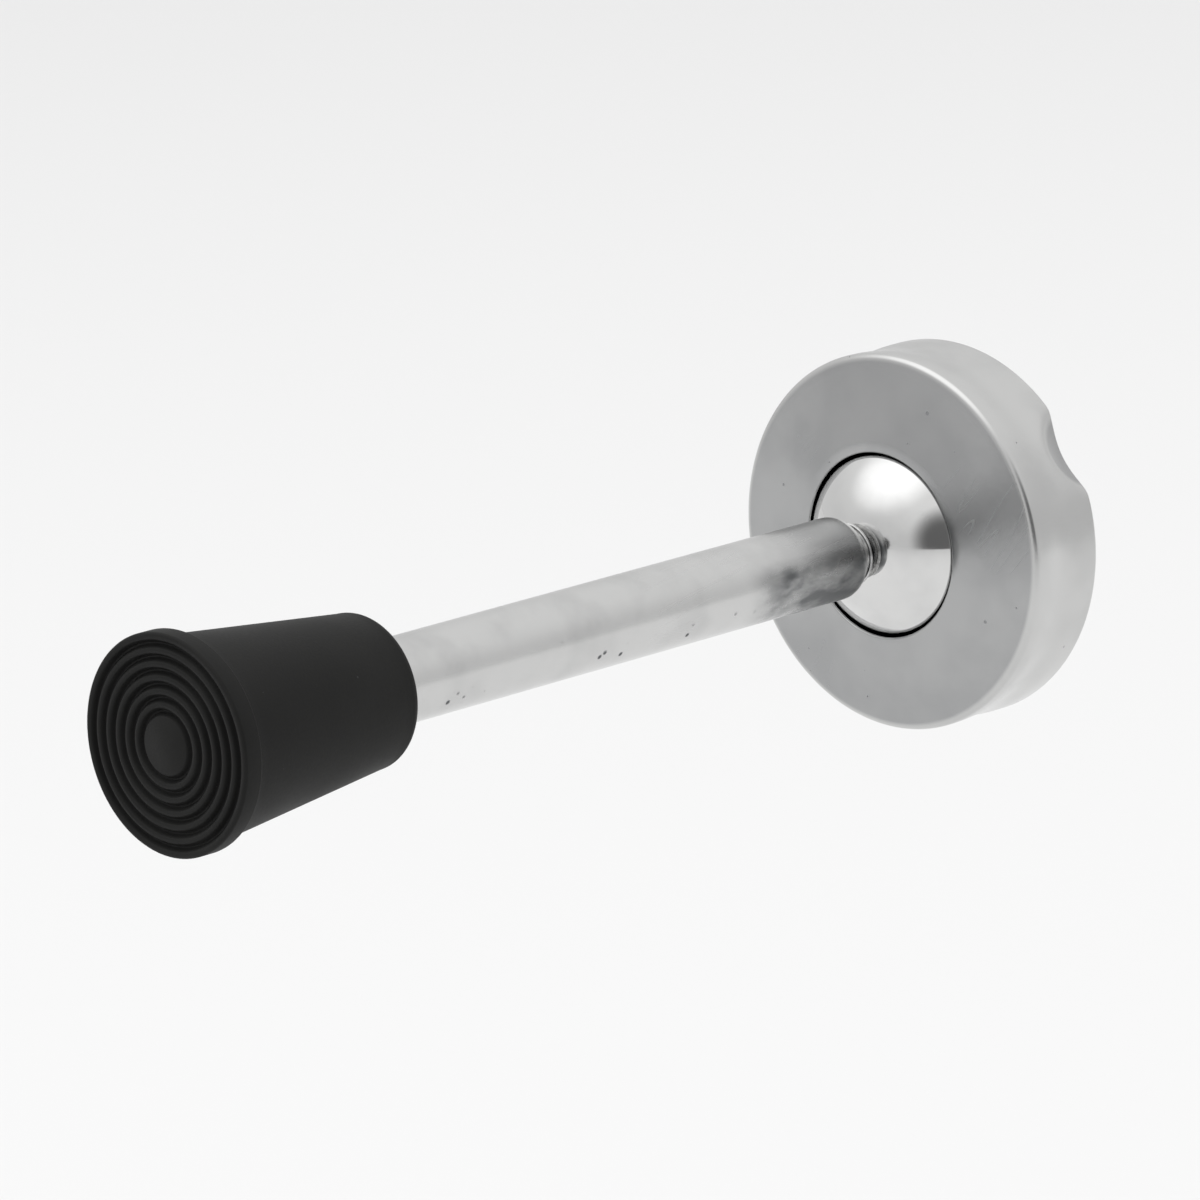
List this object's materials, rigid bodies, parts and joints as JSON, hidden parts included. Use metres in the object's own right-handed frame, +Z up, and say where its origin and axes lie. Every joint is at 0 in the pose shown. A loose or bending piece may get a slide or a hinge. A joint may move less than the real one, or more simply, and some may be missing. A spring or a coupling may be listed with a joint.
{
  "type": "door holder",
  "caption": "Surface door holder: a round steel rose with a friction ball joint, a straight tubular arm and a tapered rubber foot that rests on the floor",
  "frame": {"origin": "the middle of the back face, where the holder lies against the door", "axes": "+Z up along the door, the door lies on the +Y side, the arm points to -Y at rest"},
  "size_m": [0.055, 0.1565, 0.055],
  "materials": {
    "satin_steel": "satin",
    "polished_chrome": "polished",
    "zinc_steel": "zinc plated",
    "spring_steel": "oiled",
    "black_nylon": "matt",
    "brass": "turned",
    "black_rubber": "moulded matt"
  },
  "bodies": {
    "base": {"base_plate": "zinc_steel", "rose": "satin_steel", "rose_screw_1": "spring_steel", "rose_screw_2": "spring_steel", "seat_ring": "black_nylon", "retaining_ring": "spring_steel", "wave_washer": "spring_steel", "slip_washer": "black_nylon"},
    "swivel": {"rotor": "zinc_steel", "pivot_pin": "zinc_steel", "pin_clip": "spring_steel"},
    "arm": {"ball": "polished_chrome", "friction_washer_left": "brass", "friction_washer_right": "brass", "neck_stud": "polished_chrome", "stud_collar": "polished_chrome", "tube_bush": "brass", "arm_tube": "polished_chrome", "ferrule_washer": "zinc_steel", "rubber_ferrule": "black_rubber"}
  },
  "joints": [
    {"name": "swivel_turn", "type": "hinge", "parent": "base", "child": "swivel", "pos_m": [0, -0.0052, 0], "axis": [0, -1, 0], "continuous": true},
    {"name": "arm_tilt", "type": "hinge", "parent": "swivel", "child": "arm", "pos_m": [0, -0.0052, 0], "axis": [1, 0, 0], "range_deg": [0, 35]}
  ]
}
